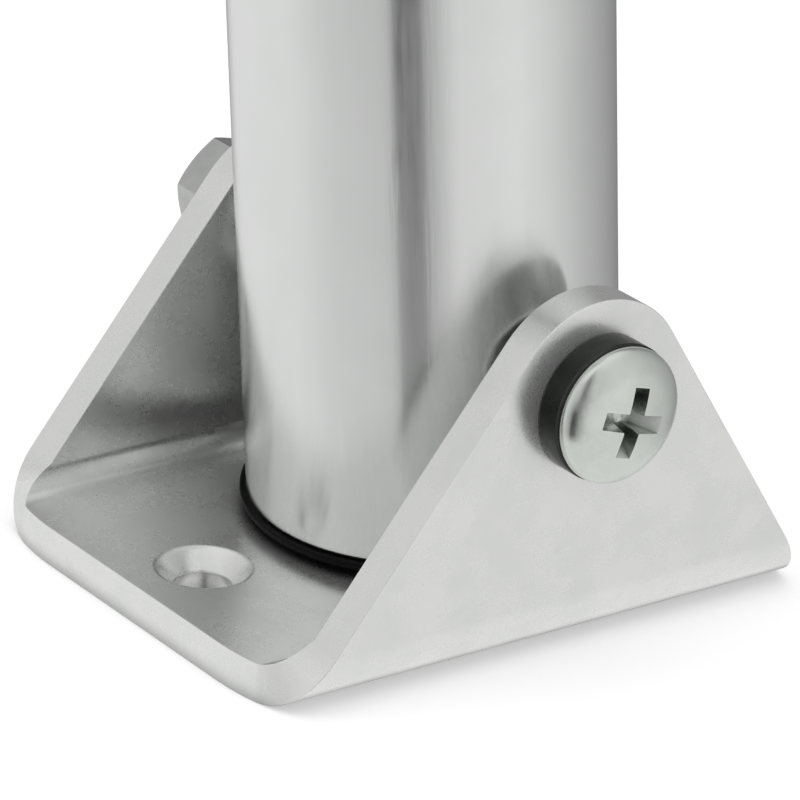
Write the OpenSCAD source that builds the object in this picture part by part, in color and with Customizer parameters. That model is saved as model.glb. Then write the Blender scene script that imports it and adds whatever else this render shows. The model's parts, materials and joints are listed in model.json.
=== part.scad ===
// Pivoting foot for a round furniture leg.
// A bent sheet steel clevis stands on the floor and the leg tube tilts between its two ears.
// Origin: middle of the base plate's underside. +X points to the rear of the foot, +Y to the nut
// side, +Z up.

/* [Bracket] */
// Length of the bracket along the channel
bracket_len = 48; // [44:1:60]
// Width over the outside faces of the two ears
bracket_w = 40; // [38:1:44]
// Sheet thickness
sheet_t = 3; // [2.5:0.5:3]
// Outside radius of the two bends
bend_r = 5; // [4:0.5:6]
// Radius of the ear's top around the pivot
ear_r = 7.8; // [7:0.1:9]
// Radius of the blank's corners, where the base edge turns into the ear edge
corner_r = 20; // [16:1:20]

/* [Pivot] */
// Pivot height above the floor
pivot_h = 19.8; // [19.8:0.1:24]
// How far the pivot sits behind the middle of the bracket
pivot_back = 1.4; // [0:0.1:2]
// How far the leg leans forwards at rest, in degrees
rest_lean = 6; // [0:0.5:6]

/* [Leg] */
// Outside diameter of the leg tube
tube_d = 28; // [25:1:28]
// Wall thickness of the leg tube
tube_wall = 1.5; // [1:0.1:2]
// Length of the tube below the pivot
tube_below = 14.2; // [13:0.1:14.2]
// Length of the tube above the pivot
tube_above = 66; // [40:1:300]
// How far the flange stands out past the tube
plug_proud = 0.5; // [0.2:0.1:0.5]
// How far the end plug reaches up into the tube
plug_insert_h = 8.5; // [5:0.5:9]

/* [Floor screw hole] */
// Distance of the hole from the bracket's front edge
floor_hole_x = 6.2; // [5:0.1:7]
// Diameter of the hole
floor_hole_d = 4.2; // [3.5:0.1:4.5]
// Diameter of the countersink at the top of the plate
countersink_d = 7; // [6:0.1:8]

/* [Fasteners] */
// Nominal thread diameter of the pivot bolt
bolt_d = 5; // [5:5]
// Length of the pivot bolt under its head
bolt_len = 50; // [49:1:52]
// Diameter of the low domed head
head_d = 10.4; // [10:0.2:12]
// Height of the domed head
head_h = 2.2; // [2.2:0.1:3.5]
// Thickness of the washer under the head
head_washer_t = 2.2; // [1:0.1:2.2]
// Outside diameter of the two flat washers
washer_d = 10.5; // [9:0.5:12.5]
// Thickness of the washer under the nut
washer_t = 1; // [0.8:0.1:1.2]
// Outside diameter of the spring washer
spring_washer_d = 9.2; // [8.8:0.1:9.4]
// Thickness of the spring washer
spring_washer_t = 1.2; // [1:0.1:1.4]
// Width of the nut across its flats
nut_flats = 8; // [8:8]
// Height of the nut
nut_h = 4.7; // [4:0.1:5]
// How far the cross recess is turned about the bolt, in degrees
recess_turn = 15; // [0:5:85]
// How far the nut is turned about the bolt, in degrees
nut_turn = 15; // [0:5:60]
// Outside diameter of the pivot sleeve
sleeve_d = 8; // [7:0.5:8]
// Outside diameter of the two spacers
spacer_d = 10; // [9.5:0.5:13]

/* [Hidden] */
$fn = 96;

eps = 0.01;
gap_w = bracket_w - 2 * sheet_t;            // clear width between the ears
bend_in_r = bend_r - sheet_t;               // inside radius of the bends
front_x = -bracket_len / 2;
ear_y = bracket_w / 2;                      // outside face of an ear
fold_drop = (PI / 2 - 1) * bend_r;          // how far a bend shortens the unfolded height

tube_r = tube_d / 2;
bore_r = tube_r - tube_wall;
tube_len = tube_below + tube_above;
edge_break = 0.3;                           // chamfer on cut edges
running_gap = 0.05;                         // radial clearance of the tube on its sleeve

bolt_clear_d = bolt_d + 0.5;                // holes in the ears
washer_bore_d = bolt_d + 0.3;
sleeve_bore_d = bolt_d + 0.2;
spacer_t = (gap_w - tube_d) / 2 - 0.3;      // leaves 0.3 mm to the tube
plug_flange_t = 1;
plug_r = tube_r + plug_proud;
plug_edge_r = 0.8;
plug_wall = 1.6;
plug_rib_t = 1;
plug_rib_reach = 0.45;

// ---- Outline of the unfolded blank ---------------------------------------------------------
// u runs along the bracket from its middle, v is the height above the floor that the point
// would have if the ear went straight down to it. Below bend_r the sheet follows the bend.

// Where the tangent from [corner_u, 0] meets the ear's top, for side -1 (front) or 1 (rear).
function tangent_angle(side) =
    let (corner_u = side * bracket_len / 2 - pivot_back,
         reach = norm([corner_u, pivot_h]),
         down = atan2(-pivot_h, corner_u))
    down + side * acos(ear_r / reach);

function tangent_point(side) =
    [pivot_back + ear_r * cos(tangent_angle(side)), pivot_h + ear_r * sin(tangent_angle(side))];

// How far an ear edge leans away from the vertical, in degrees.
function edge_turn(side) =
    let (rise = tangent_point(side) - [side * bracket_len / 2, 0])
    atan2(abs(rise[0]), rise[1]);

// Distance that the corner radius takes from each side of the corner.
function corner_reach(side) = corner_r * tan(edge_turn(side) / 2);

// How far the outline stands back from the bracket's end at the unfolded height v.
function setback(side, v) =
    let (turn = edge_turn(side), reach = corner_reach(side))
    v <= -reach ? 0 :
    v <= reach * cos(turn) ? corner_r - sqrt(corner_r * corner_r - pow(v + reach, 2)) :
    v * tan(turn);

function outline_u(side, v) = side * (bracket_len / 2 - setback(side, v));

// Steps of v along one side's outline, from v0 to the end of the corner radius.
function corner_steps(side, v0, v1, steps) =
    v1 <= v0 ? [v0] : [for (i = [0 : steps]) v0 + (v1 - v0) * i / steps];

// One ear above the bend, as an outline in u and v.
module ear_outline(steps = 4) {
    function side_points(side) =
        [for (v = corner_steps(side, bend_r, corner_reach(side) * cos(edge_turn(side)), steps))
            [outline_u(side, v), v]];
    rear = side_points(1);
    polygon(concat(side_points(-1),
                   [tangent_point(-1), [pivot_back, pivot_h], tangent_point(1)],
                   [for (i = [len(rear) - 1 : -1 : 0]) rear[i]]));
    translate([pivot_back, pivot_h]) circle(r = ear_r);
}

// The flat plate between the bends, with the start of the four corner radii.
module plate_outline(steps = 8) {
    half_w = ear_y - bend_r;
    function corner(side) =
        [for (v = corner_steps(side, -corner_reach(side), -fold_drop, steps))
            [outline_u(side, v), half_w + fold_drop + v]];
    front = corner(-1);
    rear = corner(1);
    last = steps;
    polygon(concat(front, [for (i = [last : -1 : 0]) rear[i]],
                   [for (p = rear) [p[0], -p[1]]],
                   [for (i = [last : -1 : 0]) [front[i][0], -front[i][1]]]));
}

// One bend of the sheet on the +Y side, with its ends cut to the blank's outline.
module bend(steps = 16) {
    function section(phi) =
        let (v = phi / 180 * PI * bend_r - fold_drop,
             y0 = ear_y - bend_r)
        [for (end = [[-1, bend_in_r], [-1, bend_r], [1, bend_r], [1, bend_in_r]])
            [outline_u(end[0], v), y0 + end[1] * sin(phi), bend_r - end[1] * cos(phi)]];
    points = [for (i = [0 : steps]) each section(90 * i / steps)];
    skin = [for (i = [0 : steps - 1]) for (k = [0 : 3]) for (half = [0, 1])
        let (a = 4 * i + k, b = 4 * i + (k + 1) % 4)
        half == 0 ? [a, b, a + 4] : [b, b + 4, a + 4]];
    polyhedron(points, concat(skin, [[3, 2, 1, 0], [for (k = [0 : 3]) 4 * steps + k]]));
}

// ---- Foot ----------------------------------------------------------------------------------

module clevis_bracket() {
    color([0.80, 0.80, 0.78])
    difference() {
        union() {
            linear_extrude(height = sheet_t) plate_outline();
            for (side = [0, 1]) mirror([0, side, 0]) {
                bend();
                translate([0, ear_y, 0]) rotate([90, 0, 0])
                    linear_extrude(height = sheet_t) ear_outline();
            }
        }
        translate([pivot_back, ear_y + 1, pivot_h]) rotate([90, 0, 0])
            cylinder(d = bolt_clear_d, h = bracket_w + 2);
        translate([front_x + floor_hole_x, 0, 0]) floor_hole();
    }
}

// Countersunk hole for one floor screw, standing on the floor plane.
module floor_hole() {
    sink_h = (countersink_d - floor_hole_d) / 2;
    translate([0, 0, -1]) cylinder(d = floor_hole_d, h = sheet_t + 2);
    translate([0, 0, sheet_t - sink_h])
        cylinder(d1 = floor_hole_d, d2 = countersink_d + 2, h = sink_h + 1);
}

// ---- Leg -----------------------------------------------------------------------------------

// Puts a piece drawn with the pivot at its origin into the leaning leg.
module in_leg() {
    translate([pivot_back, 0, pivot_h]) rotate([0, -rest_lean, 0]) children();
}

module leg_tube() {
    color([0.82, 0.82, 0.82])
    in_leg()
    difference() {
        translate([0, 0, -tube_below]) rotate_extrude()
            polygon([[bore_r, edge_break], [bore_r + edge_break, 0], [tube_r - edge_break, 0],
                     [tube_r, edge_break], [tube_r, tube_len - edge_break],
                     [tube_r - edge_break, tube_len], [bore_r + edge_break, tube_len],
                     [bore_r, tube_len - edge_break]]);
        rotate([90, 0, 0])
            cylinder(d = sleeve_d + 2 * running_gap, h = tube_d + 2, center = true);
    }
}

module tube_end_plug() {
    color([0.04, 0.04, 0.04])
    in_leg()
    translate([0, 0, -tube_below]) {
        rotate_extrude() difference() {
            union() {
                translate([0, -plug_flange_t])
                    square([plug_r - plug_edge_r, plug_flange_t]);
                translate([0, -plug_flange_t + plug_edge_r])
                    square([plug_r, plug_flange_t - plug_edge_r]);
                intersection() {
                    translate([plug_r - plug_edge_r, -plug_flange_t + plug_edge_r])
                        circle(r = plug_edge_r);
                    translate([0, -plug_flange_t]) square([plug_r, plug_edge_r]);
                }
                square([bore_r - 0.5, plug_insert_h]);
                for (i = [1 : 3])
                    translate([0, i * plug_insert_h / 3 - plug_rib_t - 0.3])
                        square([bore_r - 0.5 + plug_rib_reach, plug_rib_t]);
            }
            translate([-1, plug_wall])
                square([bore_r - 0.5 - plug_wall + 1, plug_insert_h]);
        }
    }
}

// ---- Pivot ---------------------------------------------------------------------------------

// Puts a piece drawn along +Z from its seat onto the pivot axis, seat at y, pointing to +Y.
module on_axis(y) {
    translate([pivot_back, y, pivot_h]) rotate([-90, 0, 0]) children();
}

module ring(outer_d, bore_d, t) {
    difference() {
        cylinder(d = outer_d, h = t);
        translate([0, 0, -1]) cylinder(d = bore_d, h = t + 2);
    }
}

module pivot_sleeve() {
    color([0.62, 0.62, 0.60])
    on_axis(-gap_w / 2) ring(sleeve_d, sleeve_bore_d, gap_w);
}

module spacer() {
    ring(spacer_d, sleeve_d + 2 * running_gap, spacer_t);
}

module near_spacer() {
    color([0.62, 0.62, 0.60]) on_axis(-gap_w / 2) spacer();
}

module far_spacer() {
    color([0.62, 0.62, 0.60]) on_axis(gap_w / 2 - spacer_t) spacer();
}

module head_washer() {
    color([0.12, 0.12, 0.12])
    on_axis(-ear_y - head_washer_t) ring(washer_d, washer_bore_d, head_washer_t);
}

module nut_washer() {
    color([0.76, 0.77, 0.75])
    on_axis(ear_y) ring(washer_d, washer_bore_d, washer_t);
}

module spring_washer() {
    color([0.55, 0.55, 0.54])
    on_axis(ear_y + washer_t)
    difference() {
        ring(spring_washer_d, washer_bore_d, spring_washer_t);
        rotate([0, 0, 200]) translate([bolt_d / 2 - 0.5, 0, 0]) rotate([20, 0, 0])
            translate([0, -0.25, -spring_washer_t])
                cube([spring_washer_d, 0.5, 3 * spring_washer_t]);
    }
}

module hex_nut() {
    corner_r = nut_flats / sqrt(3);
    color([0.74, 0.75, 0.73])
    on_axis(ear_y + washer_t + spring_washer_t) rotate([0, 0, nut_turn])
    difference() {
        intersection() {
            cylinder(r = corner_r, h = nut_h, $fn = 6);
            rotate_extrude() polygon([[0, 0], [nut_flats / 2 - 0.1, 0],
                                      [corner_r, 0.35], [corner_r, nut_h - 0.35],
                                      [nut_flats / 2 - 0.1, nut_h], [0, nut_h]]);
        }
        translate([0, 0, -1]) cylinder(d = bolt_d + 0.04, h = nut_h + 2);
    }
}

module pivot_bolt() {
    dome_h = 2;                             // the rounded top part of the head
    side_h = head_h - dome_h;
    head_r = head_d / 2;
    flat_r = 2.9;
    recess_depth = 1.9;
    wing_len = 5.8;
    wing_t = 1.4;
    tip = 0.7;
    color([0.78, 0.79, 0.76])
    on_axis(-ear_y - head_washer_t) {
        difference() {
            rotate_extrude()
                polygon(concat(
                    [[0, 0], [head_r, 0], [head_r, -side_h]],
                    [for (a = [15 : 15 : 75])
                        [flat_r + (head_r - flat_r) * cos(a), -side_h - dome_h * sin(a)]],
                    [[flat_r, -head_h], [0, -head_h]]));
            for (turn = [0, 90]) rotate([0, 0, turn + recess_turn])
                translate([-wing_len / 2, -wing_t / 2, -head_h - 1])
                    cube([wing_len, wing_t, recess_depth + 1]);
            translate([0, 0, -head_h - eps])
                cylinder(r1 = 1.45, r2 = 0.7, h = recess_depth);
        }
        rotate_extrude()
            polygon([[0, -eps], [bolt_d / 2, -eps], [bolt_d / 2, bolt_len - tip],
                     [bolt_d / 2 - tip, bolt_len], [0, bolt_len]]);
    }
}

clevis_bracket();
leg_tube();
tube_end_plug();
pivot_sleeve();
near_spacer();
far_spacer();
pivot_bolt();
head_washer();
nut_washer();
spring_washer();
hex_nut();
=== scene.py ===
"""Looks of the pivoting furniture foot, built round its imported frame.

A bent zinc-plated sheet stands on the floor, and a plated leg tube tilts between its two ears on a
cross bolt. Lengths are in metres, in the frame's own axes: +X to the rear, +Y along the bolt to its
nut, +Z up. Places and outside sizes are read from the frame. The rest are fields of the classes,
apart from small roundings and gaps.
"""

import json
import logging
import math
from dataclasses import dataclass, field
from enum import Enum
from typing import Iterable

import bmesh
import bpy
from bmesh.types import BMEdge, BMesh, BMFace, BMVert
from bpy.types import Material, Node, NodeSocket, NodeTree, Object, ShaderNodeTree
from mathutils import Matrix, Vector


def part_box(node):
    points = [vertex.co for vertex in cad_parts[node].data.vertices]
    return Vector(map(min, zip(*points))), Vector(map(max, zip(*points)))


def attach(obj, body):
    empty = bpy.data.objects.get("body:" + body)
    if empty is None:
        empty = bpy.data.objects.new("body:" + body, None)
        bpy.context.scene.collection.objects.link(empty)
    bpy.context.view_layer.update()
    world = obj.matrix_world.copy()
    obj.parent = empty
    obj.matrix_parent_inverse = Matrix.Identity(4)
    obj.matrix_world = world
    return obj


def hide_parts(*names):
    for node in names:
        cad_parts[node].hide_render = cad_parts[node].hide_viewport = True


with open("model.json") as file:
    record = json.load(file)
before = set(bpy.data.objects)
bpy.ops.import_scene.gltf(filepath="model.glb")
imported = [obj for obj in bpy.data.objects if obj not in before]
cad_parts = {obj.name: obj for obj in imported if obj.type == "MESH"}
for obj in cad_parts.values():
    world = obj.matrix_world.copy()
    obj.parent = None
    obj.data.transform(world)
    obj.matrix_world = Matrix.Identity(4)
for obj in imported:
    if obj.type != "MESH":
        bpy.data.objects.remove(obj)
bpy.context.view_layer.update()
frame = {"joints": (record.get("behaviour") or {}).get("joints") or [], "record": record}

MM = 0.001
WELD = 0.001 * MM  # points nearer than this are one point
log = logging.getLogger("furniture_foot")

Colour = tuple[float, float, float]
Corner = tuple[float, float, float]  # radius, height and rounding of one corner of a turned outline
Walls = tuple[tuple[float, float], ...]  # compass direction in degrees from +X towards +Y, and brightness
Lamp = tuple[str, tuple[float, float, float], float, float]  # name, place, width and power in watts


# ---- Node groups and finishes ----


class Slot(Enum):
    """The record's material slots."""

    SHEET = "zinc_sheet"
    LEG = "leg_metal"
    FASTENER = "zinc_fastener"
    PLASTIC = "black_plastic"


@dataclass
class NodeBuilder:
    """Adds and joins shader nodes in one tree."""

    tree: NodeTree

    def add(self, kind: str, inputs: dict[str | int, object] | None = None, **settings: object) -> Node:
        """Adds one node.

        Args:
            kind: The node's type, without its "ShaderNode" start.
            inputs: For each input, a socket to link to it or a plain value.
            settings: The node's own properties.

        Returns:
            The new node.
        """
        node = self.tree.nodes.new("ShaderNode" + kind)
        for name, value in settings.items():
            setattr(node, name, value)
        self.feed(node, inputs or {})
        return node

    def feed(self, node: Node, inputs: dict[str | int, object]) -> None:
        """Links each given socket to a node's input, or sets the input to the given value."""
        for name, value in inputs.items():
            if isinstance(value, NodeSocket):
                self.tree.links.new(value, node.inputs[name])
            else:
                node.inputs[name].default_value = value

    def group(self, group: ShaderNodeTree, inputs: dict[str, object]) -> Node:
        """Places one shared group with its inputs and returns the node."""
        return self.add("Group", inputs, node_tree=group)

    def math(self, operation: str, first: object, second: object) -> NodeSocket:
        """Returns the result of one Math node on two sockets or numbers."""
        return self.add("Math", {0: first, 1: second}, operation=operation).outputs[0]

    def stretch(self, value: object, low: float, high: float, to_low: float,
                to_high: float) -> NodeSocket:
        """Returns value mapped from low..high onto to_low..to_high, held at the ends."""
        node = self.add("MapRange", {"Value": value, "From Min": low, "From Max": high,
                                     "To Min": to_low, "To Max": to_high}, clamp=True)
        return node.outputs["Result"]

    def mix(self, share: object, first: object, second: object) -> NodeSocket:
        """Returns a colour that goes from first to second as share goes from 0 to 1."""
        return self.add("Mix", {0: share, 6: first, 7: second}, data_type="RGBA").outputs[2]


def rgba(colour: Colour) -> tuple[float, float, float, float]:
    """Returns a colour with full alpha."""
    return (*colour, 1.0)


def new_group(name: str, inputs: dict[str, str],
              outputs: dict[str, str]) -> tuple[ShaderNodeTree, NodeBuilder]:
    """Makes an empty shader node group.

    Args:
        name: The group's name.
        inputs: Each input's name and the kind of its socket.
        outputs: Each output's name and the kind of its socket.

    Returns:
        The group, and a builder for its tree.
    """
    group = bpy.data.node_groups.new(name, "ShaderNodeTree")
    for names, side in ((inputs, "INPUT"), (outputs, "OUTPUT")):
        for socket, kind in names.items():
            group.interface.new_socket(socket, in_out=side, socket_type="NodeSocket" + kind)
    return group, NodeBuilder(group)


def ends(builder: NodeBuilder) -> tuple[Node, Node]:
    """Adds a group's input and output nodes and returns them."""
    return (builder.tree.nodes.new("NodeGroupInput"), builder.tree.nodes.new("NodeGroupOutput"))


class Effects:
    """The surface effects that several finishes share, each a node group built once."""

    def __init__(self) -> None:
        """Builds the four groups."""
        self.mottle = self._mottle()
        self.grain = self._grain()
        self.edge = self._edge_wear_and_highlight()
        self.painted_shade = self._painted_shade()

    @staticmethod
    def _mottle() -> ShaderNodeTree:
        """Cloudy patches with a faint crystal pattern, as zinc plating has."""
        group, build = new_group("plating_mottle", {"Vector": "Vector", "Scale": "Float"},
                                 {"Clouds": "Float", "Spangle": "Float"})
        start, end = ends(build)
        warp = build.add("TexNoise", {"Vector": start.outputs["Vector"], "Scale": 900.0, "Detail": 2.0})
        moved = build.add("VectorMath", {0: warp.outputs["Color"], 1: (0.5, 0.5, 0.5)},
                          operation="SUBTRACT")
        small = build.add("VectorMath", {0: moved.outputs[0], "Scale": 1.2 * MM}, operation="SCALE")
        place = build.add("VectorMath", {0: start.outputs["Vector"], 1: small.outputs[0]},
                          operation="ADD")
        clouds = build.add("TexNoise", {"Vector": place.outputs[0], "Scale": start.outputs["Scale"],
                                        "Detail": 4.0, "Roughness": 0.55})
        cells = build.add("TexVoronoi", {"Vector": place.outputs[0],
                                         "Scale": build.math("MULTIPLY", start.outputs["Scale"], 2.6)},
                          feature="SMOOTH_F1")
        grey = build.add("SeparateColor", {"Color": cells.outputs["Color"]})
        build.feed(end, {"Clouds": build.stretch(clouds.outputs["Fac"], 0.36, 0.64, 0.0, 1.0),
                         "Spangle": grey.outputs[0]})
        return group

    @staticmethod
    def _grain() -> ShaderNodeTree:
        """Fine relief: rolling or drawing lines over small pits."""
        group, build = new_group("fine_grain", {"Vector": "Vector", "Scale": "Float", "Pits": "Float"},
                                 {"Height": "Float"})
        start, end = ends(build)
        lines = build.add("TexNoise", {"Vector": start.outputs["Vector"], "Scale": start.outputs["Scale"],
                                       "Detail": 3.0, "Roughness": 0.6})
        pits = build.add("TexNoise", {"Vector": start.outputs["Vector"], "Scale": start.outputs["Pits"],
                                      "Detail": 2.0})
        sunk = build.stretch(pits.outputs["Fac"], 0.3, 0.42, -0.5, 0.0)
        build.feed(end, {"Height": build.math("ADD", lines.outputs["Fac"], sunk)})
        return group

    @staticmethod
    def _edge_wear_and_highlight() -> ShaderNodeTree:
        """A mask that is 1 where the surface turns sharply, for edges lightened as rubbed wear and painted
        highlight.
        """
        group, build = new_group("edge_wear_and_highlight", {"Width": "Float", "Vector": "Vector"}, {"Mask": "Float"})
        start, end = ends(build)
        rounded = build.add("Bevel", {"Radius": start.outputs["Width"]}, samples=4)
        real = build.add("NewGeometry").outputs["Normal"]
        dot = build.add("VectorMath", {0: rounded.outputs[0], 1: real}, operation="DOT_PRODUCT")
        turned = build.stretch(dot.outputs["Value"], 0.995, 0.86, 0.0, 1.0)
        breakup = build.add("TexNoise", {"Vector": start.outputs["Vector"], "Scale": 1500.0,
                                         "Detail": 3.0})
        broken = build.stretch(breakup.outputs["Fac"], 0.35, 0.65, 0.45, 1.0)
        build.feed(end, {"Mask": build.math("MULTIPLY", turned, broken)})
        return group

    @staticmethod
    def _painted_shade() -> ShaderNodeTree:
        """A mask that is 1 deep in corners and recesses, for painted shade where light is cut off."""
        group, build = new_group("painted_shade_corners", {"Distance": "Float"}, {"Mask": "Float"})
        start, end = ends(build)
        open_sky = build.add("AmbientOcclusion", {"Distance": start.outputs["Distance"]}, samples=8)
        build.feed(end, {"Mask": build.stretch(open_sky.outputs["AO"], 0.25, 0.80, 1.0, 0.0)})
        return group


@dataclass(frozen=True)
class Finish:
    """One surface: plated or bare metal, near-black metal that paints shade, or moulded plastic."""

    name: str
    colour: Colour
    cloud_colour: Colour
    edge_wear_highlight_colour: Colour
    roughness: float
    mottle_scale: float = 260.0
    mottle_share: float = 0.5
    spangle_share: float = 0.1
    roughness_swing: float = 0.08
    grain_scale: float = 2200.0
    grain_pits: float = 1400.0
    grain_height: float = 0.006 * MM
    grain_swing: tuple[float, float] = (-0.03, 0.03)  # what the grain adds to the roughness
    gloss: float = 0.5
    metal_share: float = 1.0  # below 1, the rest scatters light as a matt surface does
    drawn: Vector | None = None  # the direction of the drawing lines
    drawn_share: float = 0.05
    round_polish: float = 0.0  # how far reflections are stretched along the drawn direction
    # Edges are lightened, partly as rubbed wear and partly as a painted highlight.
    edge_width: float = 0.35 * MM
    edge_wear_highlight_share: float = 0.5
    # Painted shade: the colour is darkened in corners and recesses, where shade falls.
    painted_shade_depth: float = 1.2 * MM
    painted_shade_share: float = 0.0
    painted_shade_top: float = 1.0  # the height above which the painted corner shade fades out
    painted_shade_colour: Colour = (0.03, 0.035, 0.03)

    def build(self, effects: Effects) -> Material:
        """Makes the material.

        Args:
            effects: The shared node groups.

        Returns:
            A material whose colour, roughness and relief vary over the surface.
        """
        material, build, shader = new_material(self.name)
        build.feed(shader, {"Metallic": self.metal_share, "Anisotropic": self.round_polish,
                            "Specular IOR Level": self.gloss})
        place = build.add("TexCoord").outputs["Object"]
        if self.drawn is not None:
            axis = build.add("VectorTransform", {"Vector": tuple(self.drawn)}, vector_type="VECTOR",
                             convert_from="OBJECT", convert_to="WORLD")
            build.feed(shader, {"Tangent": axis.outputs[0]})
        clouds = build.group(effects.mottle, {"Vector": place, "Scale": self.mottle_scale})
        grain = build.group(effects.grain, {
            "Vector": self._along(build, place), "Scale": self.grain_scale,
            "Pits": self.grain_pits}).outputs["Height"]
        swing = build.stretch(clouds.outputs["Clouds"], 0.0, 1.0, self.roughness - self.roughness_swing,
                              self.roughness + self.roughness_swing)
        rough = build.math("ADD", swing, build.stretch(grain, 0.2, 0.8, *self.grain_swing))
        bump = build.add("Bump", {"Height": grain, "Strength": 1.0, "Distance": self.grain_height})
        build.feed(shader, {"Base Color": self._tint(build, effects, place, clouds), "Roughness": rough,
                            "Normal": bump.outputs["Normal"]})
        return material

    def _tint(self, build: NodeBuilder, effects: Effects, place: NodeSocket, clouds: Node) -> NodeSocket:
        """Returns the colour: clouds and crystals, then edges lit up as wear and painted highlight, then
        painted corner shade.

        Args:
            build: The material's builder.
            effects: The shared node groups.
            place: The object coordinates.
            clouds: The placed mottle group.
        """
        cloud_share = build.math("MULTIPLY", clouds.outputs["Clouds"], self.mottle_share)
        cloudy = build.mix(cloud_share, rgba(self.colour), rgba(self.cloud_colour))
        spangle = build.stretch(clouds.outputs["Spangle"], 0.0, 1.0, 0.0, self.spangle_share)
        crystal = build.mix(spangle, cloudy, rgba(self.cloud_colour))
        # Lightened edges: partly rubbed wear, partly a painted highlight.
        edge = build.group(effects.edge, {"Width": self.edge_width, "Vector": place})
        rub_and_highlight = build.math("MULTIPLY", edge.outputs["Mask"], self.edge_wear_highlight_share)
        worn_and_highlit = build.mix(rub_and_highlight, crystal, rgba(self.edge_wear_highlight_colour))
        # Painted shade: darken corners and recesses, where shade falls, towards a near-black colour.
        if self.painted_shade_share == 0:
            return worn_and_highlit
        painted_shade = build.group(effects.painted_shade, {"Distance": self.painted_shade_depth})
        height = build.add("SeparateXYZ", {"Vector": place}).outputs["Z"]
        share = build.stretch(height, self.painted_shade_top, self.painted_shade_top + 3 * MM, self.painted_shade_share, 0.0)
        shade_amount = build.math("MULTIPLY", painted_shade.outputs["Mask"], share)
        return build.mix(shade_amount, worn_and_highlit, rgba(self.painted_shade_colour))

    def _along(self, build: NodeBuilder, place: NodeSocket) -> NodeSocket:
        """Returns the place squeezed along the direction that the metal was drawn in, if it was.

        Args:
            build: The material's builder.
            place: The object coordinates.
        """
        if self.drawn is None:
            return place
        turn = self.drawn.to_track_quat("Z", "X").inverted().to_euler()
        turned = build.add("Mapping", {"Vector": place, "Rotation": tuple(turn)})
        return build.add("Mapping", {"Vector": turned.outputs[0],
                                     "Scale": (1.0, 1.0, self.drawn_share)}).outputs[0]


def new_material(name: str) -> tuple[Material, NodeBuilder, Node]:
    """Makes a material with an empty Principled shader.

    Args:
        name: The material's name.

    Returns:
        The material, its builder and its Principled node.
    """
    material = bpy.data.materials.new(name)
    material.use_nodes = True
    material.node_tree.nodes.clear()
    build = NodeBuilder(material.node_tree)
    shader = build.add("BsdfPrincipled")
    build.add("OutputMaterial", {"Surface": shader.outputs[0]})
    return material, build, shader


class Palette:
    """The foot's finishes, built as materials on first use."""

    def __init__(self, leg_up: Vector) -> None:
        """Names the finishes.

        Args:
            leg_up: The direction of the leg tube, which its drawing lines follow.
        """
        self.effects = Effects()
        self.finishes = {
            # The sheet gets painted shade in its low corners, near the floor.
            "sheet": Finish("zinc_sheet", (0.84, 0.845, 0.83), (0.72, 0.74, 0.73), (0.88, 0.88, 0.87),
                            roughness=0.28, metal_share=0.82, mottle_scale=230.0, mottle_share=0.4,
                            roughness_swing=0.04, grain_height=0.003 * MM, painted_shade_depth=2.2 * MM,
                            painted_shade_share=0.9, painted_shade_top=4.5 * MM),
            "tube": Finish("plated_tube", (0.80, 0.81, 0.80), (0.74, 0.76, 0.75), (0.86, 0.86, 0.86),
                           roughness=0.21, mottle_scale=120.0, mottle_share=0.35, spangle_share=0.03,
                           roughness_swing=0.02, drawn=leg_up, round_polish=0.86,
                           grain_height=0.003 * MM),
            # The bolt gets painted shade in its recess and in the corner under its head.
            "fastener": Finish("bright_zinc", (0.72, 0.75, 0.71), (0.62, 0.66, 0.62),
                               (0.82, 0.84, 0.81), roughness=0.24, mottle_scale=420.0,
                               mottle_share=0.45, roughness_swing=0.05, grain_height=0.004 * MM,
                               painted_shade_share=0.9),
            "nut": Finish("dull_zinc", (0.54, 0.55, 0.54), (0.44, 0.45, 0.44), (0.70, 0.71, 0.70),
                          roughness=0.30, mottle_scale=420.0),
            "spring": Finish("spring_steel", (0.38, 0.39, 0.39), (0.30, 0.31, 0.31),
                             (0.55, 0.55, 0.54), roughness=0.33, mottle_scale=500.0),
            # Near black, to paint the dark ring of shade under the bolt's head.
            "shade_black": Finish("painted_shade_black", (0.05, 0.055, 0.05), (0.03, 0.03, 0.03),
                            (0.14, 0.14, 0.14), roughness=0.35, mottle_scale=500.0),
            "plastic": Finish("black_polyamide", (0.002, 0.002, 0.002), (0.002, 0.002, 0.002),
                              (0.005, 0.005, 0.005), roughness=0.42, mottle_share=0.0, spangle_share=0.0,
                              roughness_swing=0.0, grain_scale=3200.0, grain_pits=1800.0,
                              grain_height=0.012 * MM, grain_swing=(-0.06, 0.08), gloss=0.08,
                              metal_share=0.0, edge_width=0.25 * MM, edge_wear_highlight_share=0.4),
        }
        self.made: dict[str, Material] = {}

    def get(self, name: str) -> Material:
        """Returns the material of a finish, built once."""
        if name not in self.made:
            self.made[name] = self.finishes[name].build(self.effects)
        return self.made[name]


# ---- Mesh tools ----


def edge_turn(edge: BMEdge) -> float:
    """Returns how sharply the surface turns over an edge, in radians, or 0 at an open edge."""
    return edge.calc_face_angle(0.0) if len(edge.link_faces) == 2 else 0.0


def face_out(bm: BMesh) -> None:
    """Turns all of a mesh's normals outwards."""
    bmesh.ops.recalc_face_normals(bm, faces=bm.faces[:])


def round_off(bm: BMesh, geom: list[BMEdge] | list[BMVert], radius: float, segments: int,
              affect: str = "EDGES") -> None:
    """Rounds the given edges, or with affect "VERTICES" the corners of a flat outline."""
    bmesh.ops.bevel(bm, geom=geom, offset=radius, offset_type="OFFSET", segments=segments, profile=0.5,
                    affect=affect, material=-1, clamp_overlap=True)


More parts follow.
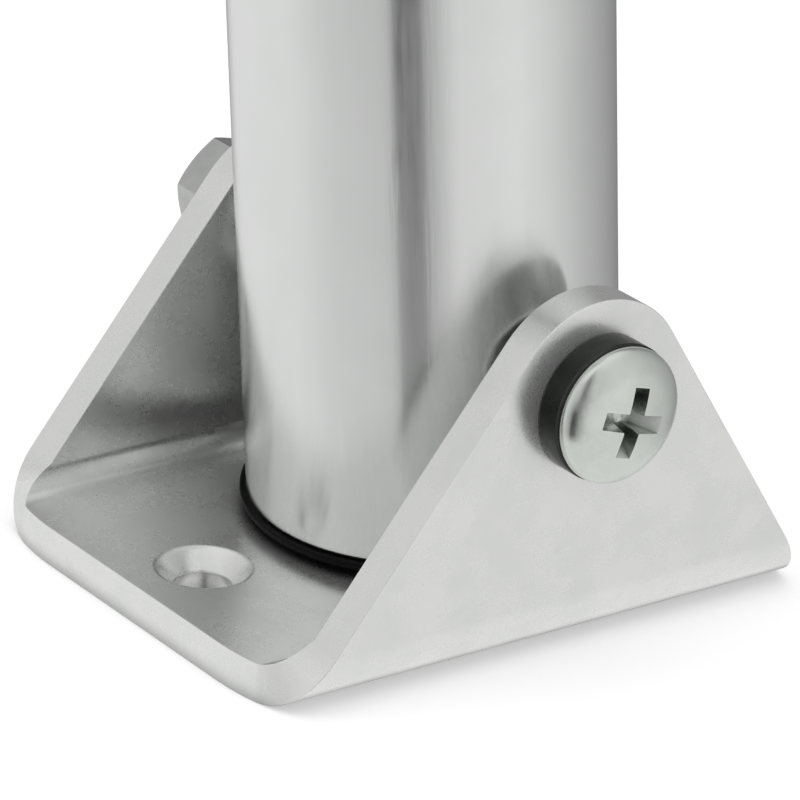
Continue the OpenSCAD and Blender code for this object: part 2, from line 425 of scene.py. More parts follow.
def slice_at(bm: BMesh, place: tuple[float, float, float], normal: tuple[float, float, float]) -> None:
    """Cuts the mesh's faces along a plane and keeps both sides."""
    bmesh.ops.bisect_plane(bm, geom=bm.verts[:] + bm.edges[:] + bm.faces[:], dist=0.1 * WELD,
                           plane_co=place, plane_no=normal)


def outline_face(bm: BMesh, corners: Iterable[Corner], segments: int) -> BMFace:
    """Draws a flat outline in the XZ plane and rounds its corners.

    Args:
        bm: The empty mesh to draw in.
        corners: Radius, height and rounding of each corner, in order.
        segments: How many steps each rounded corner gets.

    Returns:
        The filled outline.
    """
    rounded: dict[float, list[BMVert]] = {}
    verts = []
    for radius, height, rounding in corners:
        vert = bm.verts.new((radius, 0.0, height))
        verts.append(vert)
        if rounding > 0:
            rounded.setdefault(rounding, []).append(vert)
    bm.faces.new(verts)
    for rounding, chosen in rounded.items():
        round_off(bm, chosen, rounding, segments, "VERTICES")
    return bm.faces[:][0]


def lathe(corners: Iterable[Corner], steps: int = 96, segments: int = 4) -> BMesh:
    """Turns an outline about Z into a closed solid.

    Args:
        corners: Radius, height and rounding of each corner. Corners on the axis close the ends.
        steps: How many steps go round.
        segments: How many steps each rounded corner gets.

    Returns:
        The turned mesh, with its normals outwards.
    """
    bm = bmesh.new()
    outline_face(bm, corners, segments)
    bmesh.ops.delete(bm, geom=bm.faces[:], context="FACES_ONLY")
    on_axis = [e for e in bm.edges if all(abs(v.co.x) < 1e-7 for v in e.verts)]
    bmesh.ops.delete(bm, geom=on_axis, context="EDGES")
    bmesh.ops.spin(bm, geom=bm.verts[:] + bm.edges[:], cent=(0, 0, 0), axis=(0, 0, 1), dvec=(0, 0, 0),
                   angle=math.tau, steps=steps, use_merge=True, use_duplicate=False)
    bmesh.ops.remove_doubles(bm, verts=bm.verts[:], dist=WELD)
    face_out(bm)
    return bm


def pin(radius: float, low: float, high: float, steps: int = 64) -> BMesh:
    """Returns a plain round pin along Z from low to high, to cut a hole with."""
    bm = bmesh.new()
    bmesh.ops.create_cone(bm, cap_ends=True, cap_tris=False, segments=steps, radius1=radius,
                          radius2=radius, depth=high - low,
                          matrix=Matrix.Translation((0, 0, (low + high) / 2)))
    return bm


def to_object(bm: BMesh, name: str) -> Object:
    """Moves a bmesh into a new object of the scene and frees it.

    Args:
        bm: The mesh, which can't be used afterwards.
        name: The object's name.

    Returns:
        The new object.
    """
    mesh = bpy.data.meshes.new(name)
    bm.to_mesh(mesh)
    bm.free()
    item = bpy.data.objects.new(name, mesh)
    bpy.context.scene.collection.objects.link(item)
    return item


def combine(target: BMesh, tool: BMesh, operation: str = "DIFFERENCE") -> BMesh:
    """Cuts or joins one closed mesh with another.

    Args:
        target: The mesh that is changed. It is freed.
        tool: The mesh that cuts it. It is freed.
        operation: DIFFERENCE, UNION or INTERSECT.

    Returns:
        The result, as a new mesh.
    """
    body, cutter = to_object(target, "work_body"), to_object(tool, "work_tool")
    modifier = body.modifiers.new("cut", "BOOLEAN")
    modifier.operation, modifier.solver, modifier.object = operation, "EXACT", cutter
    graph = bpy.context.evaluated_depsgraph_get()
    result = bmesh.new()
    result.from_object(body, graph)
    for item in (body, cutter):
        mesh = item.data
        bpy.data.objects.remove(item)
        bpy.data.meshes.remove(mesh)
    bmesh.ops.remove_doubles(result, verts=result.verts[:], dist=0.5 * WELD)
    return result


def arc_on(bm: BMesh, start: BMVert, centre: Vector, turn: float, steps: int) -> BMVert:
    """Extends a line from start round a centre in the XY plane.

    Args:
        bm: The mesh.
        start: The end of the line so far.
        centre: The arc's centre.
        turn: The arc's angle, anticlockwise, in radians.
        steps: How many edges it has.

    Returns:
        The vertex at the arc's end.
    """
    made = bmesh.ops.spin(bm, geom=[start], cent=centre, axis=(0, 0, 1), dvec=(0, 0, 0), angle=turn,
                          steps=steps, use_merge=False, use_duplicate=False)
    return next(g for g in made["geom_last"] if isinstance(g, BMVert))


def line_to(bm: BMesh, start: BMVert, x: float, y: float) -> BMVert:
    """Extends a line from start to a point of the XY plane and returns its new end."""
    end = bm.verts.new((x, y, 0.0))
    bm.edges.new((start, end))
    return end


@dataclass
class Piece:
    """Turns a finished bmesh into one piece of the visual model."""

    palette: Palette

    def make(self, bm: BMesh, name: str, finish: str, slot: Slot, body: str, node: str,
             sharp_over: float = 32.0) -> None:
        """Makes the piece and hangs it in the frame.

        Args:
            bm: The mesh, in the row frame. It is freed.
            name: The piece's name.
            finish: The finish's name in the palette.
            slot: The record's material slot. It is not used.
            body: The CAD body that it rides on.
            node: The CAD node that it stands for.
            sharp_over: Edges that turn by more than this many degrees stay sharp.
        """
        item = to_object(bm, name)
        item.data.polygons.foreach_set("use_smooth", [True] * len(item.data.polygons))
        item.data.set_sharp_from_angle(angle=math.radians(sharp_over))
        weighted = item.modifiers.new("even_shading", "WEIGHTED_NORMAL")
        weighted.keep_sharp = True
        item.data.materials.append(self.palette.get(finish))
        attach(item, body)
        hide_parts(node)
        log.info("%s: %d faces, for %s on %s", name, len(item.data.polygons), node, body)


# ---- Places shared by the sub-assemblies ----


@dataclass(frozen=True)
class Seat:
    """Where a ring on the pivot axis sits: its two faces along +Y and its outside radius."""

    start: float
    end: float
    radius: float

    @classmethod
    def of(cls, node: str) -> "Seat":
        """Reads the seat of a CAD node."""
        low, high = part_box(node)
        return cls(low.y, high.y, (high.z - low.z) / 2)

    @property
    def thickness(self) -> float:
        """The ring's length along the axis."""
        return self.end - self.start


@dataclass(frozen=True)
class Layout:
    """The frame's main places and sizes."""

    pivot: Vector
    leg_up: Vector
    leg_top: float
    tube_r: float
    ear_out: float
    ear_in: float
    bracket_high: Vector

    @classmethod
    def read(cls) -> "Layout":
        """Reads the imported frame."""
        pivot = Vector(frame["joints"][0]["pos_m"])
        mounts = {m["name"]: m for m in frame["record"]["mounts"]}
        leg_up = Vector(mounts["leg_tube_top"]["axis"]).normalized()
        leg_top = (Vector(mounts["leg_tube_top"]["pos_m"]) - pivot).dot(leg_up)
        bracket_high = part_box("clevis_bracket")[1]
        return cls(pivot, leg_up, leg_top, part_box("leg_tube")[1].y, bracket_high.y,
                   -Seat.of("near_spacer").start, bracket_high)

    def on_axis(self, y: float) -> Matrix:
        """Returns the move that puts a piece drawn along +Z from its seat onto the pivot axis at y."""
        return Matrix.Translation((self.pivot.x, y, self.pivot.z)) @ Matrix.Rotation(-math.pi / 2, 4, "X")

    def in_leg(self) -> Matrix:
        """Returns the move that puts a piece drawn round +Z about the pivot into the leaning leg."""
        lean = math.atan2(self.leg_up.x, self.leg_up.z)
        return Matrix.Translation(self.pivot) @ Matrix.Rotation(lean, 4, "Y")


# ---- Bracket ----


@dataclass
class Bracket:
    """The clevis: one sheet blank, cut, dressed at its edges and bent up into two ears."""

    layout: Layout
    piece: Piece
    bend_r: float = 5.0 * MM
    corner_r: float = 20.0 * MM
    bolt_hole_r: float = 2.75 * MM
    countersink_r: float = 3.5 * MM
    edge_round: float = 0.65 * MM
    lip_round: float = 0.3 * MM
    bend_steps: int = 14
    sheet_t: float = field(init=False)
    ear_r: float = field(init=False)
    half_len: float = field(init=False)
    flat_w: float = field(init=False)
    fold_drop: float = field(init=False)

    def __post_init__(self) -> None:
        """Works out the sizes that the frame gives."""
        place = self.layout
        self.sheet_t = place.ear_out - place.ear_in
        self.ear_r = place.bracket_high.z - place.pivot.z
        self.half_len = place.bracket_high.x
        self.flat_w = place.ear_out - self.bend_r
        self.fold_drop = (math.pi / 2 - 1) * self.bend_r

    def build(self) -> None:
        """Builds and dresses the bracket."""
        bm = self._blank()
        self._fold(bm)
        face_out(bm)
        bm = self._drill(bm)
        self.piece.make(bm, "bent_bracket", "sheet", Slot.SHEET, "foot", "clevis_bracket")

    def _ear_tangent(self, side: int) -> tuple[Vector, float]:
        """Returns where an ear's straight edge meets its round top, and how far that edge leans.

        Args:
            side: 1 for the rear edge and -1 for the front one.

        Returns:
            The point as unfolded length and height above the floor, and the lean in radians.
        """
        centre = Vector((self.layout.pivot.x, self.layout.pivot.z))
        corner = Vector((side * self.half_len, 0.0))
        reach = corner - centre
        angle = math.atan2(reach.y, reach.x) + side * math.acos(self.ear_r / reach.length)
        point = centre + self.ear_r * Vector((math.cos(angle), math.sin(angle)))
        return point, math.atan2(abs(point.x - corner.x), point.y)

    def _blank(self) -> BMesh:
        """Makes the flat blank, with X along the bracket and Y across it, its outside face down."""
        bm = bmesh.new()
        lift = self.flat_w + self.fold_drop
        rear, rear_lean = self._ear_tangent(1)
        front, front_lean = self._ear_tangent(-1)
        rear_low = lift - self.corner_r * math.tan(rear_lean / 2)
        front_low = lift - self.corner_r * math.tan(front_lean / 2)
        inset = self.half_len - self.corner_r
        first = bm.verts.new((self.half_len, 0.0, 0.0))
        last = line_to(bm, first, self.half_len, rear_low)
        last = arc_on(bm, last, Vector((inset, rear_low, 0)), rear_lean, 12)
        last = line_to(bm, last, rear.x, rear.y + lift)
        sweep = math.pi - rear_lean - front_lean
        last = arc_on(bm, last, Vector((self.layout.pivot.x, self.layout.pivot.z + lift, 0)), sweep, 22)
        centre = Vector((-inset, front_low, 0))
        away = self.corner_r * Vector((-math.cos(front_lean), math.sin(front_lean), 0))
        last = line_to(bm, last, *(centre + away).xy)
        last = arc_on(bm, last, centre, front_lean, 12)
        last = line_to(bm, last, -self.half_len, 0.0)
        bm.edges.new((last, first))
        bmesh.ops.remove_doubles(bm, verts=bm.verts[:], dist=WELD)
        bmesh.ops.contextual_create(bm, geom=bm.edges[:])
        bmesh.ops.mirror(bm, geom=bm.verts[:] + bm.edges[:] + bm.faces[:], axis="Y", merge_dist=WELD)
        face_out(bm)
        self._score(bm)
        bmesh.ops.solidify(bm, geom=bm.faces[:], thickness=self.sheet_t)
        lowest = min(v.co.z for v in bm.verts)
        bmesh.ops.translate(bm, verts=bm.verts[:], vec=(0, 0, -lowest))
        face_out(bm)
        rim = [e for e in bm.edges if edge_turn(e) > math.radians(60)]
        round_off(bm, rim, self.edge_round, 5)
        return bm

    def _score(self, bm: BMesh) -> None:
        """Cuts the flat blank into narrow strips where it will bend."""
        arc_len = self.bend_r * math.pi / 2
        for step in range(self.bend_steps + 1):
            for side in (-1, 1):
                y = side * (self.flat_w + arc_len * step / self.bend_steps)
                slice_at(bm, (0, y, 0), (0, 1, 0))

    def _fold(self, bm: BMesh) -> None:
        """Bends the two ears up. The outside face keeps its length round the bend."""
        arc_len = self.bend_r * math.pi / 2
        for vert in bm.verts:
            side = math.copysign(1.0, vert.co.y)
            past = abs(vert.co.y) - self.flat_w
            depth = vert.co.z
            if past <= 0:
                continue
            radius = self.bend_r - depth
            turn = min(past, arc_len) / self.bend_r
            beyond = max(0.0, past - arc_len)
            vert.co.y = side * (self.flat_w + radius * math.sin(turn) + beyond * math.cos(turn))
            vert.co.z = self.bend_r - radius * math.cos(turn) + beyond * math.sin(turn)

    def _drill(self, bm: BMesh) -> BMesh:
        """Cuts the bolt holes through the ears and the countersunk hole in the plate."""
        place = self.layout
        bolt = pin(self.bolt_hole_r, -place.ear_out - MM, place.ear_out + MM)
        bolt.transform(place.on_axis(0.0))
        bm = combine(bm, bolt)
        mount = next(m for m in frame["record"]["mounts"] if m["name"] == "floor_screw_hole")
        hole_r = mount["dims"]["r_mm"] * MM
        top = self.sheet_t + 2 * WELD
        sink_r, cover_r = self.countersink_r, 2.2 * self.countersink_r
        sink = lathe([(0, -MM, 0), (hole_r, -MM, 0), (hole_r, top - (sink_r - hole_r), 0.12 * MM),
                      (sink_r, top, self.lip_round), (cover_r, top, 0), (cover_r, top + MM, 0),
                      (0, top + MM, 0)], steps=64)
        sink.transform(Matrix.Translation((mount["pos_m"][0], mount["pos_m"][1], 0)))
        return combine(bm, sink)


# ---- Leg ----


@dataclass
class Leg:
    """The leg tube and the plug that closes its lower end."""

    layout: Layout
    piece: Piece
    wall: float = 1.5 * MM
    end_round: float = 0.3 * MM
    cross_hole_r: float = 4.05 * MM
    flange_round: float = 0.8 * MM
    insert_h: float = 8.5 * MM
    insert_gap: float = 0.5 * MM
    insert_wall: float = 1.6 * MM
    rib_reach: float = 0.45 * MM
    ribs: int = 3
    below: float = field(init=False)
    flange_r: float = field(init=False)
    flange_t: float = field(init=False)

    def __post_init__(self) -> None:
        """Works out where the tube ends and how thick the flange is from their lowest points."""
        place = self.layout
        rise, lean = place.leg_up.z, abs(place.leg_up.x)
        drop = place.pivot.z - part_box("leg_tube")[0].z
        self.below = (drop - (place.tube_r - self.end_round) * lean) / rise
        low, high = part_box("tube_end_plug")
        self.flange_r = high.y
        drop = place.pivot.z - low.z - self.flange_round
        depth = (drop - (self.flange_r - self.flange_round) * lean) / rise + self.flange_round
        self.flange_t = depth - self.below

    def build(self) -> None:
        """Builds and dresses the tube and its plug."""
        self._tube()
        self._plug()

    def _tube(self) -> None:
        """Makes the tube, with its ends dressed and its two cross holes."""
        outer, inner = self.layout.tube_r, self.layout.tube_r - self.wall
        bm = lathe([(inner, -self.below, self.end_round), (outer, -self.below, self.end_round),
                    (outer, self.layout.leg_top, self.end_round),
                    (inner, self.layout.leg_top, self.end_round)], steps=160, segments=3)
        for height in (-2.0, -1.3, 1.3, 2.0):
            slice_at(bm, (0, 0, height * self.cross_hole_r), (0, 0, 1))
        hole = pin(self.cross_hole_r, -outer - MM, outer + MM)
        hole.transform(Matrix.Rotation(math.pi / 2, 4, "X"))
        bm = combine(bm, hole)
        bm.transform(self.layout.in_leg())
        self.piece.make(bm, "leg_tube_shell", "tube", Slot.LEG, "leg", "leg_tube")

    def _plug(self) -> None:
        """Makes the end plug: a flange under the tube and a ribbed cup inside it."""
        cup_r = self.layout.tube_r - self.wall - self.insert_gap
        pitch = self.insert_h / self.ribs
        flange_r, low = self.flange_r, -self.flange_t
        corners: list[Corner] = [(0, low, 0), (flange_r, low, self.flange_round),
                                 (flange_r, 0, 0.15 * MM), (cup_r, 0, 0)]
        for rib in range(1, self.ribs + 1):
            top = rib * pitch - 0.3 * MM
            corners += [(cup_r, top - MM, 0), (cup_r + self.rib_reach, top - 0.65 * MM, 0.1 * MM),
                        (cup_r + self.rib_reach, top, 0.1 * MM), (cup_r, top, 0)]
        corners += [(cup_r, self.insert_h, 0.2 * MM), (cup_r - self.insert_wall, self.insert_h, 0.2 * MM),
                    (cup_r - self.insert_wall, self.insert_wall, 0.6 * MM), (0, self.insert_wall, 0)]
        bm = lathe(corners, steps=128)
        bm.transform(self.layout.in_leg() @ Matrix.Translation((0, 0, -self.below)))
        self.piece.make(bm, "end_plug", "plastic", Slot.PLASTIC, "leg", "tube_end_plug")


# ---- Pivot ----


@dataclass
class Pivot:
    """The cross bolt and everything that is threaded on it."""

    layout: Layout
    piece: Piece
    bolt_r: float = 2.5 * MM
    # The head's outline: each corner's radius and height as shares of the head's, and its rounding.
    head_outline: tuple[Corner, ...] = ((0, 1, 0), (0.44, 0.97, 1.2 * MM), (0.84, 0.70, 1.0 * MM),
                                        (1, 0.26, 0.4 * MM), (0.98, 0, 0.1 * MM))
    thread_pitch: float = 0.8 * MM
    thread_depth: float = 0.46 * MM
    thread_len: float = 9.0 * MM
    tip: float = 0.7 * MM
    recess_turn: float = math.radians(15)
    wing_len: float = 5.8 * MM
    wing_t: float = 1.4 * MM
    recess_depth: float = 2.0 * MM
    heart_r: float = 1.15 * MM
    washer_bore_r: float = 2.65 * MM
    sleeve_bore_r: float = 2.6 * MM
    running_r: float = 4.05 * MM
    nut_flats: float = 8.0 * MM
    nut_turn: float = math.radians(15)

    def build(self) -> None:
        """Builds and dresses the bolt, the nut and the rings."""
        self._bolt()
        self._nut()
        self._spring_washer()
        for ring in (("sleeve", "pivot_sleeve", self.sleeve_bore_r, 0.2 * MM, "spring"),
                     ("spacer_near", "near_spacer", self.running_r, 0.3 * MM, "nut"),
                     ("spacer_far", "far_spacer", self.running_r, 0.3 * MM, "nut"),
                     # The washer under the head is near black: it paints the dark ring of shade there.
                     ("washer_under_head", "head_washer", self.washer_bore_r, 0.22 * MM, "shade_black"),
                     ("washer_under_nut", "nut_washer", self.washer_bore_r, 0.22 * MM, "fastener")):
            self._ring(*ring)

    def _ring(self, name: str, node: str, bore_r: float, rounding: float, finish: str) -> None:
        """Makes a plain ring in the place of a CAD node.

        Args:
            name: The piece's name.
            node: The CAD node.
            bore_r: The bore's radius.
            rounding: Rounding of its edges.
            finish: The finish's name.
        """
        seat = Seat.of(node)
        bm = lathe([(bore_r, 0, rounding / 2), (seat.radius, 0, rounding),
                    (seat.radius, seat.thickness, rounding), (bore_r, seat.thickness, rounding / 2)])
        bm.transform(self.layout.on_axis(seat.start))
        self.piece.make(bm, name, finish, Slot.FASTENER, "foot", node)

    def _bolt(self) -> None:
        """Makes the bolt: a pan head with a cross recess, a plain shank and a threaded end."""
        low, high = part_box("pivot_bolt")
        head_r = (high.z - low.z) / 2
        seat = Seat.of("head_washer").start
        head_h = seat - low.y
        length = high.y - seat
        core_r = self.bolt_r - self.thread_depth
        head = [(across * head_r, -up * head_h, rounding) for across, up, rounding in self.head_outline]
        plain = length - self.thread_len
        bm = lathe([*head, (self.bolt_r, 0, 0), (self.bolt_r, plain, 0.1 * MM),
                    (core_r, plain + 0.4 * MM, 0), (core_r, length - 0.25 * MM, 0.1 * MM),
                    (core_r - 0.3 * MM, length, 0), (0, length, 0)], steps=96, segments=5)
        for quarter in (0, 1):
            bm = combine(bm, self._recess_wing(head_h, self.recess_turn + quarter * math.pi / 2))
        bm = combine(bm, self._recess_heart(head_h))
        face_out(bm)
        self._add_thread(bm, plain, length)
        bm.transform(self.layout.on_axis(seat))
        self.piece.make(bm, "cross_bolt", "fastener", Slot.FASTENER, "foot", "pivot_bolt")

    def _recess_wing(self, head_h: float, turn: float) -> BMesh:
        """Returns the tool that cuts one pair of recess wings, narrower at the bottom."""
        bm = bmesh.new()
        bmesh.ops.create_cube(bm, size=1.0, matrix=Matrix.Diagonal((self.wing_len, self.wing_t,
                                                                   2 * self.recess_depth, 1)))
        for end, spread in ((1, (0.45, 0.70, 1.0)), (-1, (1.5, 1.28, 1.0))):
            bmesh.ops.scale(bm, vec=spread, verts=[v for v in bm.verts if end * v.co.z > 0])
        bm.transform(Matrix.Translation((0, 0, -head_h)) @ Matrix.Rotation(turn, 4, "Z"))
        return bm

    def _recess_heart(self, head_h: float) -> BMesh:
        """Returns the tool that cuts the recess's round, pointed middle."""
        bm = lathe([(0, -0.5 * MM, 0), (self.heart_r, -0.5 * MM, 0), (0.6 * MM, self.recess_depth, 0),
                    (0, self.recess_depth + 0.5 * MM, 0)], steps=32)
        bm.transform(Matrix.Translation((0, 0, -head_h)))
        return bm

    def _add_thread(self, bm: BMesh, low: float, high: float) -> None:
        """Winds the thread's ridge round the bolt's core and trims it to the pointed tip.

        Args:
            bm: The bolt, along +Z.
            low: Where the thread starts.
            high: The bolt's end.
        """
        per_turn = 28
        turns = (high - low) / self.thread_pitch - 1.0
        root = self.bolt_r - self.thread_depth - 0.05 * MM
        flat = 0.06 * self.thread_pitch
        half = 0.47 * self.thread_pitch
        section = [bm.verts.new((x, 0, low + half + z)) for x, z in
                   ((root, -half), (self.bolt_r, -flat), (self.bolt_r, flat), (root, half))]
        edges = [bm.edges.new((section[i], section[(i + 1) % 4])) for i in range(4)]
        before = set(bm.faces)
        made = bmesh.ops.spin(bm, geom=section + edges, cent=(0, 0, 0), axis=(0, 0, 1),
                              dvec=(0, 0, self.thread_pitch / per_turn), angle=math.tau * turns,
                              steps=round(per_turn * turns), use_merge=False, use_duplicate=False)
        last = [g for g in made["geom_last"] if isinstance(g, BMEdge)]
        bmesh.ops.contextual_create(bm, geom=edges)
        bmesh.ops.contextual_create(bm, geom=last)
        ridge = [f for f in bm.faces if f not in before]
        bmesh.ops.recalc_face_normals(bm, faces=ridge)
        for vert in {v for f in ridge for v in f.verts}:
            limit = min(self.bolt_r, self.bolt_r - self.tip + (high - vert.co.z))
            radius = math.hypot(vert.co.x, vert.co.y)
            if radius > limit:
                vert.co.x *= limit / radius
                vert.co.y *= limit / radius

    def _nut(self) -> None:
        """Makes the hexagon nut, chamfered on both faces."""
        seat = Seat.of("hex_nut")
        height, corner_r = seat.thickness, self.nut_flats / math.sqrt(3)
        # The hexagon stands past the turned outline, so that no two faces lie in one plane.
        bm = bmesh.new()
        bmesh.ops.create_cone(bm, cap_ends=True, cap_tris=False, segments=6, radius1=corner_r,
                              radius2=corner_r, depth=height + 2 * MM,
                              matrix=Matrix.Translation((0, 0, height / 2)))
        chamfer = 0.5 * MM
        flat_r, wide_r = self.nut_flats / 2 - 0.1 * MM, corner_r + 0.1 * MM
        turned = lathe([(0, 0, 0), (flat_r, 0, 0.1 * MM), (wide_r, chamfer, 0),
                        (wide_r, height - chamfer, 0), (flat_r, height, 0.1 * MM), (0, height, 0)],
                       steps=120)
        bm.transform(Matrix.Rotation(math.pi / 6, 4, "Z"))
        bm = combine(bm, turned, "INTERSECT")
        bore_r, mouth_r = self.bolt_r + 0.02 * MM, self.bolt_r + MM
        bore = lathe([(0, -MM, 0), (mouth_r, -MM, 0), (bore_r, 0.25 * MM, 0),
                      (bore_r, height - 0.25 * MM, 0), (mouth_r, height + MM, 0), (0, height + MM, 0)],
                     steps=64)
        bm = combine(bm, bore)
        face_out(bm)
        upright = [e for e in bm.edges if abs((e.verts[0].co - e.verts[1].co).normalized().z) > 0.99
                   and edge_turn(e) > math.radians(40)]
        round_off(bm, upright, 0.12 * MM, 3)
        bm.transform(self.layout.on_axis(seat.start) @ Matrix.Rotation(self.nut_turn, 4, "Z"))
        self.piece.make(bm, "nut", "nut", Slot.FASTENER, "foot", "hex_nut", sharp_over=28.0)

    def _spring_washer(self) -> None:
        """Makes the split spring washer, pressed flat, with its slanted gap."""
        seat = Seat.of("spring_washer")
        bm = bmesh.new()
        gap = math.radians(9)
        bore_r, slope, rounding = self.washer_bore_r, 0.04 * MM, 0.12 * MM
        section = outline_face(bm, [(bore_r, slope, rounding), (seat.radius, 0, rounding),
                                    (seat.radius, seat.thickness, rounding),
                                    (bore_r, seat.thickness - slope, rounding)], 3)
        bmesh.ops.spin(bm, geom=[section, *section.edges, *section.verts], cent=(0, 0, 0),
                       axis=(0, 0, 1), dvec=(0, 0, 0), angle=math.tau - gap, steps=72,
                       use_merge=False, use_duplicate=False)
        face_out(bm)
        for vert in bm.verts:
            slant = math.radians(16) * (vert.co.z / seat.thickness - 0.5)
            vert.co = Matrix.Rotation(slant, 3, "Z") @ vert.co
        bm.transform(self.layout.on_axis(seat.start) @ Matrix.Rotation(math.radians(200), 4, "Z"))
        self.piece.make(bm, "lock_washer", "spring", Slot.FASTENER, "foot", "spring_washer")


# ---- Studio ----


@dataclass(frozen=True)
class Eye:
    """The camera's place: where it looks, from which side, how far off and through which lens."""

    target: Vector = Vector((-3.97, -4.22, 15.0)) * MM
    azimuth: float = math.radians(-37.88)
    elevation: float = math.radians(23.53)
    roll: float = math.radians(3.76)
    distance: float = 400.0 * MM
    lens: float = 246.67

    def build(self) -> None:
        """Makes the scene's camera."""
        data = bpy.data.cameras.new("eye")
        data.lens, data.sensor_width = self.lens, 36.0
        data.clip_start, data.clip_end = 0.01, 20.0
        camera = bpy.data.objects.new("eye", data)
        bpy.context.scene.collection.objects.link(camera)
        back = Vector((math.sin(self.azimuth) * math.cos(self.elevation),
                       -math.cos(self.azimuth) * math.cos(self.elevation), math.sin(self.elevation)))
        right = Vector((math.cos(self.azimuth), math.sin(self.azimuth), 0.0))
        axes = Matrix((right, back.cross(right), back)).transposed().to_4x4()
        camera.matrix_world = (Matrix.Translation(self.target + self.distance * back) @ axes
                               @ Matrix.Rotation(self.roll, 4, "Z"))
        bpy.context.scene.camera = camera


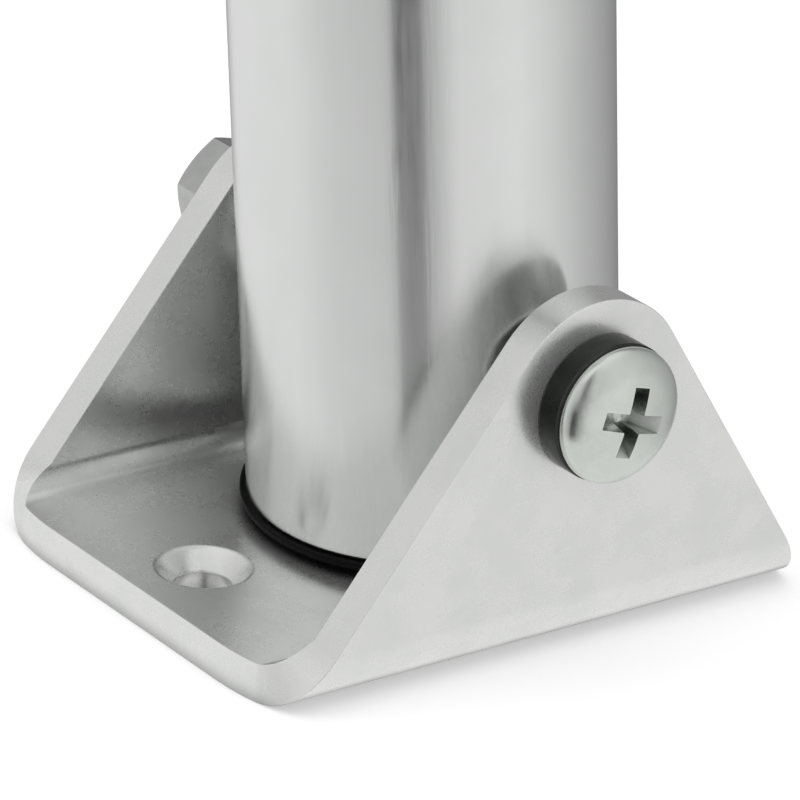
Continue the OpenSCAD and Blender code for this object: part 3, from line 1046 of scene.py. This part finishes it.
@dataclass(frozen=True)
class Studio:
    """A white floor, three soft lamps, and painted walls for the metal to mirror."""

    # How bright the studio is all round, below the foot's own level and above it.
    low_walls: Walls = (
        (-180, 0.63), (-165, 0.58), (-150, 0.54), (-143, 0.46), (-140.5, 0.03), (-127, 0.04),
        (-121, 0.40), (-105, 0.77), (-67, 0.87), (-45, 0.75), (-20, 0.57), (0, 0.46), (19, 0.35),
        (35, 0.26), (52, 0.26), (66, 0.44), (82, 0.81), (110, 0.86), (150, 0.85), (170, 0.70), (180, 0.63))
    high_walls: Walls = (
        (-180, 0.70), (-150, 0.66), (-132, 0.62), (-126, 0.15), (-116, 0.15), (-110, 0.68), (-68, 0.80),
        (-20, 0.58), (10, 0.34), (66, 0.23), (90, 0.64), (130, 0.70), (168, 0.80), (180, 0.70))
    # The rise of a unit step at which each zone of the room begins and at which it has taken over.
    rise: tuple[float, float] = (0.05, 0.20)
    overhead: tuple[float, float] = (0.70, 0.90)
    underfoot: tuple[float, float] = (-0.48, -0.62)
    overhead_level: float = 0.9
    underfoot_level: float = 0.85
    lamps: tuple[Lamp, ...] = (
        ("left_box", (-0.75, 0.35, 0.55), 0.4, 0.5), ("right_box", (0.45, -0.8, 0.6), 0.4, 0.5),
        ("top_box", (0.0, 0.1, 1.1), 0.6, 0.8))
    floor_colour: Colour = (0.82, 0.82, 0.82)
    floor_glow: float = 0.44

    def build(self) -> None:
        """Builds the world, the floor and the lamps."""
        scene = bpy.context.scene
        scene.view_settings.view_transform = "Standard"
        self._world(scene)
        self._floor()
        for name, place, size, power in self.lamps:
            self._lamp(name, Vector(place), size, power)

    def _world(self, scene: bpy.types.Scene) -> None:
        """Paints the room: plain white behind the foot, walls of their own brightness round it."""
        world = bpy.data.worlds.new("studio")
        world.use_nodes = True
        world.node_tree.nodes.clear()
        scene.world = world
        build = NodeBuilder(world.node_tree)
        look = build.add("SeparateXYZ", {"Vector": build.add("TexCoord").outputs["Generated"]})
        compass = build.math("ARCTAN2", look.outputs["Y"], look.outputs["X"])
        share = build.stretch(compass, -math.pi, math.pi, 0.0, 1.0)
        room = self._ring(build, share, self.low_walls)
        for zone, light in ((self.rise, self._ring(build, share, self.high_walls)),
                            (self.overhead, rgba((self.overhead_level,) * 3)),
                            (self.underfoot, rgba((self.underfoot_level,) * 3))):
            room = build.mix(build.stretch(look.outputs["Z"], *zone, 0.0, 1.0), room, light)
        ray = build.add("LightPath")
        seen = build.mix(ray.outputs["Is Camera Ray"], room, rgba((1.0, 1.0, 1.0)))
        glow = build.add("Background", {"Color": seen, "Strength": 1.0})
        build.add("OutputWorld", {"Surface": glow.outputs[0]})

    @staticmethod
    def _ring(build: NodeBuilder, share: NodeSocket, walls: Walls) -> NodeSocket:
        """Returns the brightness all round the foot.

        Args:
            build: The world's builder.
            share: The compass direction as 0 to 1, from -180 to 180 degrees.
            walls: Each stop's direction in degrees and its brightness.
        """
        ramp = build.add("ValToRGB", {"Fac": share})
        stops = ramp.color_ramp.elements
        for index, (angle, level) in enumerate(walls):
            place = (angle + 180) / 360
            stop = stops[index] if index < 2 else stops.new(place)
            stop.position = place
            stop.color = rgba((level, level, level))
        return ramp.outputs["Color"]

    def _floor(self) -> None:
        """Lays the floor, which mirrors in nothing so that the metal reflects the studio alone."""
        bm = bmesh.new()
        bmesh.ops.create_grid(bm, x_segments=1, y_segments=1, size=6.0,
                              matrix=Matrix.Translation((0, 0, -0.02 * MM)))
        floor = to_object(bm, "studio_floor")
        material, build, shader = new_material("floor_white")
        place = build.add("TexCoord").outputs["Object"]
        tone = build.add("TexNoise", {"Vector": place, "Scale": 2.0})
        shade = build.mix(build.math("MULTIPLY", tone.outputs["Fac"], 0.05), rgba(self.floor_colour),
                          rgba((0.78, 0.78, 0.78)))
        build.feed(shader, {"Base Color": shade, "Roughness": 0.9, "Specular IOR Level": 0.1,
                            "Emission Color": rgba((1.0, 1.0, 1.0)),
                            "Emission Strength": self.floor_glow})
        floor.data.materials.append(material)
        floor.visible_glossy = False

    @staticmethod
    def _lamp(name: str, place: Vector, size: float, power: float) -> None:
        """Hangs one soft square lamp that points at the foot and shows in no reflection.

        Args:
            name: The lamp's name.
            place: Where it hangs.
            size: Its width.
            power: Its power in watts.
        """
        data = bpy.data.lights.new(name, "AREA")
        data.size, data.energy = size, power
        lamp = bpy.data.objects.new(name, data)
        lamp.location = place
        lamp.rotation_mode = "QUATERNION"
        lamp.rotation_quaternion = place.to_track_quat("Z", "Y")
        lamp.visible_camera = False
        lamp.visible_glossy = False
        bpy.context.scene.collection.objects.link(lamp)


# ---- Main ----


def main() -> None:
    """Builds the camera, the studio and each sub-assembly in order."""
    logging.basicConfig(level=logging.INFO, format="%(message)s")
    layout = Layout.read()
    Eye().build()
    Studio().build()
    piece = Piece(Palette(layout.leg_up))
    Bracket(layout, piece).build()
    Leg(layout, piece).build()
    Pivot(layout, piece).build()


if __name__ == "__main__":
    main()
